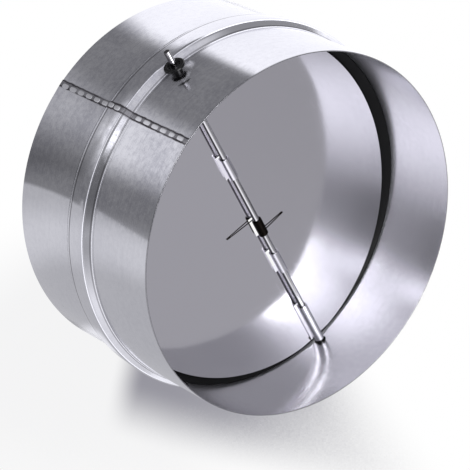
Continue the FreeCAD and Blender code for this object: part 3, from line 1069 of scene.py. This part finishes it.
def left_of_line(tree, parts, through, bearing, softness):
    """One on the left of a line on the floor, nothing on its right, a smooth step across the softness.

    The measure is the signed distance from the line: the place less a point of it, times its left normal.
    """
    turn = math.radians(bearing)
    normal_x, normal_y = -math.sin(turn), math.cos(turn)
    offset = -normal_x * through[0] - normal_y * through[1]
    distance = maths(tree, "MULTIPLY_ADD", parts["X"], normal_x, offset)
    distance = maths(tree, "MULTIPLY_ADD", parts["Y"], normal_y, distance)
    return spread(tree, distance, -softness / 2, softness / 2, 0.0, 1.0, "SMOOTHSTEP")


def studio_world():
    """Soft boxes round the damper, seen in its metal, behind a plain white backdrop."""
    world = bpy.data.worlds.new("studio")
    world.use_nodes = True
    tree = world.node_tree
    tree.nodes.clear()
    parts = parts_of(tree, node(tree, "TexCoord").outputs["Generated"])
    elevation = maths(tree, "DEGREES", maths(tree, "ARCSINE", parts["Z"]))
    # Each patch: centre, half width and softness of its bearing and of its elevation in degrees, strength
    patches = [
        ((-3, 24, 52), (70, 28, 7), 1.62),
        ((-12, 26, 20), (8, 14, 12), 0.4),
        ((-22, 32, 20), (31, 10, 5), 0.42),
        ((25, 6, 14), (38, 5, 10), 1.6),
        ((54, 12, 16), (12, 14, 12), -0.16),
        ((56, 18, 10), (35, 10, 5), -0.18),
        ((-58, 24, 16), (36, 8, 6), 0.1),
        ((128, 36, 66), (40, 60, 20), 0.55),
        ((128, 36, 66), (52, 30, 16), 0.43),
        ((195, 20, 24), (50, 20, 16), 0.08),
        ((227, 12, 10), (26, 8, 5), -0.28),
        ((96, 14, 16), (30, 8, 8), -0.3),
    ]
    level = soft_patches(tree, bearing_of(tree, parts), elevation, ROOM_LEVEL, patches)
    seen = node(tree, "LightPath").outputs["Is Camera Ray"]
    room = node(tree, "Background", {"Color": STUDIO_TINT, "Strength": level}).outputs[0]
    backdrop = node(tree, "Background", {"Color": WHITE, "Strength": 1.0}).outputs[0]
    shown = node(tree, "MixShader", {0: seen, 1: room, 2: backdrop}).outputs[0]
    node(tree, "OutputWorld", {"Surface": shown})
    bpy.context.scene.world = world


def floor_light(tree, bearing, distance, parts):
    """How bright the floor is in reflections: soft fields of light, and two bright halves past a line."""
    # Each patch: centre, half width and softness of its bearing in degrees and of its distance, strength
    patches = [
        ((24, 13, 16), (0.190, 0.050, 0.015), 0.62),
        ((24, 8, 16), (0.0, 0.134, 0.008), 0.27),
        ((43, 3, 12), (0.0, 0.134, 0.010), -0.09),
        ((70, 9, 14), (0.0, 3.0, 0.1), 0.2),
        ((119, 7, 8), (0.0, 0.125, 0.02), 0.4),
        ((25, 3, 8), (0.144, 0.003, 0.012), 0.8),
        ((25, 3, 8), (0.134, 0.002, 0.006), 0.5),
        ((35, 125, 30), (1.30, 1.0, 0.06), 0.9),
    ]
    level = soft_patches(tree, bearing, distance, FLOOR_LEVEL, patches)
    # Each half has its edge line nearer than 138 mm and the one farther out, each with a point and a
    # bearing, then its softness, the centre, half width and softness of the bearings, and its strength
    near = window(tree, distance, 0.0, 0.138, 0.010)
    for lines, softness, span, strength in (
        ((((0.1089, -0.0267), 139.8), ((0.1461, -0.0757), 136.8)), 0.026, (-85, 105, 10), 0.95),
        ((((0.0678, 0.0917), 67.3), ((0.0928, 0.1442), 73.6)), 0.004, (100, 80, 10), 0.29),
    ):
        first, second = (left_of_line(tree, parts, *line, softness) for line in lines)
        side = mix(tree, near, second, first)
        level = soft_patches(tree, bearing, side, level, [(span, (1.0, 0.5, 1.0), strength)])
    return level


def floor_shadow(tree, bearing, parts):
    """How far the damper shades the floor from a wide box, on the side where the photograph shows it."""
    inputs = {"Distance": SHADOW_REACH, "Normal": bearing_vector(*SHADOW_BOX)}
    open_share = node(tree, "AmbientOcclusion", inputs, samples=8).outputs["AO"]
    shaded = spread(tree, open_share, 0.86, 0.98, 1.0, 0.0, "SMOOTHSTEP")
    # The shadow is deep between three lines on the floor, each with a point, a bearing and its softness
    deep = 0.86
    for through, line_bearing, softness in (
        ((0.0, 0.0), 135.0, 0.024),
        ((0.0, 0.0), 8.0, 0.05),
        ((-0.1303, 0.0753), 211.8, 0.036),
    ):
        inner = left_of_line(tree, parts, through, line_bearing, softness)
        deep = maths(tree, "MULTIPLY", inner, deep)
    # It is faint on the whole side of bearings 75 to 165
    faint = window(tree, bearing, 120.0, 45.0, 30.0)
    return maths(tree, "MULTIPLY", shaded, maths(tree, "MULTIPLY_ADD", faint, 0.14, deep))


def matt_studio_floor(settings):
    """Pale matt paper: white with a soft shadow to the eye, and the studio's light fields in the metal."""
    material, tree, spot = new_material("matt_studio_floor")
    parts = parts_of(tree, spot)
    bearing = bearing_of(tree, parts)
    path = node(tree, "LightPath").outputs
    shade = floor_shadow(tree, bearing, parts)
    tone = blend(tree, shade, WHITE, rgba(settings.colours.shadow))
    light = floor_light(tree, bearing, length_of(tree, spot), parts)
    shown = node(tree, "BsdfDiffuse", {"Color": rgba(settings.colours.floor)}).outputs[0]
    for rays, inputs in (
        ("Is Camera Ray", {"Color": tone, "Strength": 1.0}),
        ("Is Glossy Ray", {"Color": STUDIO_TINT, "Strength": light}),
    ):
        lit = node(tree, "Emission", inputs).outputs[0]
        shown = node(tree, "MixShader", {0: path[rays], 1: shown, 2: lit}).outputs[0]
    node(tree, "OutputMaterial", {"Surface": shown})
    return material


class DAMPER_OT_stage(bpy.types.Operator):
    """Adds the floor, the studio's light and the camera"""

    bl_idname = "damper.stage"
    bl_label = "Stage"

    def execute(self, context):
        scene = context.scene
        half = FLOOR_SIZE / 2
        mesh = bpy.data.meshes.new("floor")
        corners = [(-half, -half, 0), (half, -half, 0), (half, half, 0), (-half, half, 0)]
        mesh.from_pydata(corners, [], [(0, 1, 2, 3)])
        mesh.materials.append(matt_studio_floor(scene.damper))
        floor = bpy.data.objects.new("floor", mesh)
        scene.collection.objects.link(floor)
        studio_world()

        data = bpy.data.lights.new("key_softbox", "AREA")
        data.size = LAMP_SIZE
        data.energy = LAMP_POWER
        lamp = bpy.data.objects.new("key_softbox", data)
        spot = Vector(bearing_vector(*LAMP_BEARING))
        turn = spot.to_track_quat("Z", "Y").to_matrix().to_4x4()
        lamp.matrix_world = Matrix.Translation(spot * LAMP_DISTANCE) @ turn
        scene.collection.objects.link(lamp)

        right, up = Vector(CAMERA_RIGHT), Vector(CAMERA_UP)
        turn = Matrix((right, up, right.cross(up))).transposed().to_4x4()
        data = bpy.data.cameras.new("camera")
        data.sensor_width = CAMERA_SENSOR
        data.lens = CAMERA_LENS
        camera = bpy.data.objects.new("camera", data)
        camera.matrix_world = Matrix.Translation(CAMERA_PLACE) @ turn
        scene.collection.objects.link(camera)
        scene.camera = camera
        scene.view_settings.view_transform = "Standard"
        return {"FINISHED"}


class DAMPER_PT_pieces(bpy.types.Panel):
    """Lists the damper's pieces"""

    bl_label = "Damper"
    bl_idname = "DAMPER_PT_pieces"
    bl_space_type = "VIEW_3D"
    bl_region_type = "UI"
    bl_category = "Damper"

    def draw(self, context):
        for operator in OPERATORS:
            self.layout.operator(operator.bl_idname)


GROUPS = (
    SleeveSizes,
    WeldSizes,
    SealSizes,
    GrommetSizes,
    BladeSizes,
    SpringSizes,
    FinishColours,
    DamperSettings,
)
OPERATORS = (
    DAMPER_OT_sleeve,
    DAMPER_OT_rubber,
    DAMPER_OT_rod,
    DAMPER_OT_blades,
    DAMPER_OT_spring,
    DAMPER_OT_stage,
)


def register():
    """Registers the classes and the settings."""
    for kind in (*GROUPS, *OPERATORS, DAMPER_PT_pieces):
        bpy.utils.register_class(kind)
    bpy.types.Scene.damper = PointerProperty(type=DamperSettings)


def unregister():
    """Takes the settings and the classes away again."""
    del bpy.types.Scene.damper
    for kind in reversed((*GROUPS, *OPERATORS, DAMPER_PT_pieces)):
        bpy.utils.unregister_class(kind)


def main():
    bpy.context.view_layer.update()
    register()
    bpy.ops.damper.sleeve()
    bpy.ops.damper.rubber()
    bpy.ops.damper.rod()
    bpy.ops.damper.blades()
    bpy.ops.damper.spring()
    bpy.ops.damper.stage()
    bpy.context.view_layer.update()


if __name__ == "__main__":
    main()
